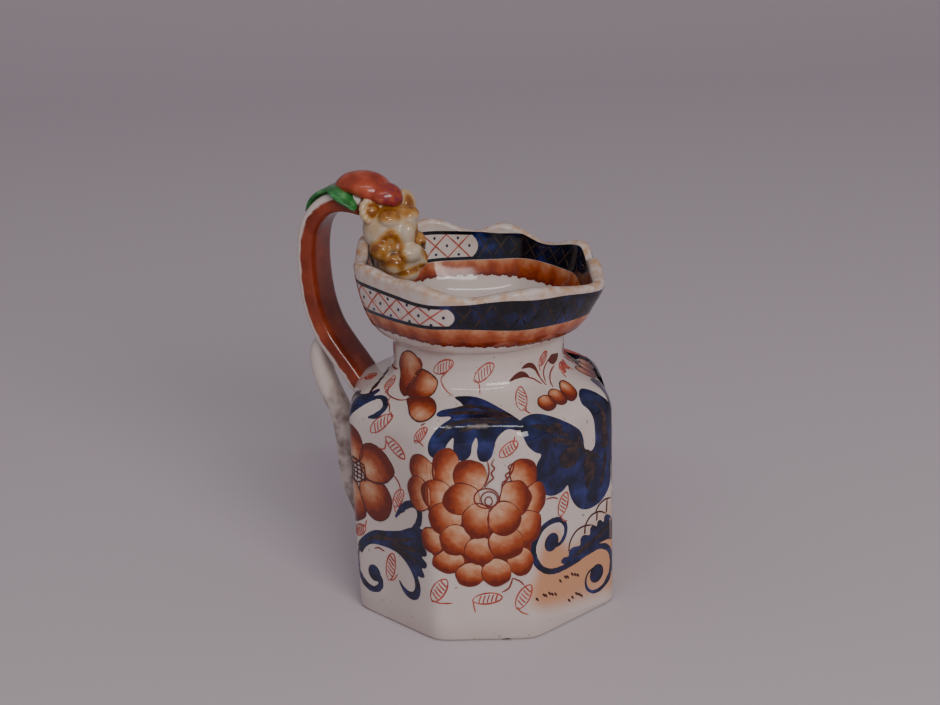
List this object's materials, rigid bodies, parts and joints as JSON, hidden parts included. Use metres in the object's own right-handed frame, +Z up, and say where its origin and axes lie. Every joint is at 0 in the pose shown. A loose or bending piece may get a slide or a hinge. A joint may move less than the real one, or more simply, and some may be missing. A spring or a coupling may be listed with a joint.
{
  "type": "cream jug",
  "caption": "Octagonal porcelain cream jug with a sloping shoulder, a flared wavy collar with a spout corner, and a strap handle with a creature's head at the rim.",
  "frame": {"origin": "middle of the foot, on the surface the jug rests on", "axes": "+X towards the spout, -X towards the handle, +Z up; the XZ plane halves the jug"},
  "size_m": [0.0995, 0.084, 0.1329],
  "materials": {
    "glaze_white": "white glaze with blue and red decoration",
    "glaze_collar": "dark blue under glaze",
    "glaze_red": "iron-red enamel",
    "glaze_ochre": "ochre wash over white",
    "glaze_green": "green enamel"
  },
  "bodies": {
    "root": {"body_wall": "glaze_white", "base": "glaze_white", "neck": "glaze_white", "collar": "glaze_collar", "handle_strap": "glaze_red", "handle_tail": "glaze_white", "creature_head": "glaze_ochre", "ear_left": "glaze_ochre", "ear_right": "glaze_ochre", "crest_back": "glaze_red", "crest_front": "glaze_red", "leaf_back": "glaze_green", "leaf_left": "glaze_green", "leaf_right": "glaze_green"}
  },
  "joints": []
}
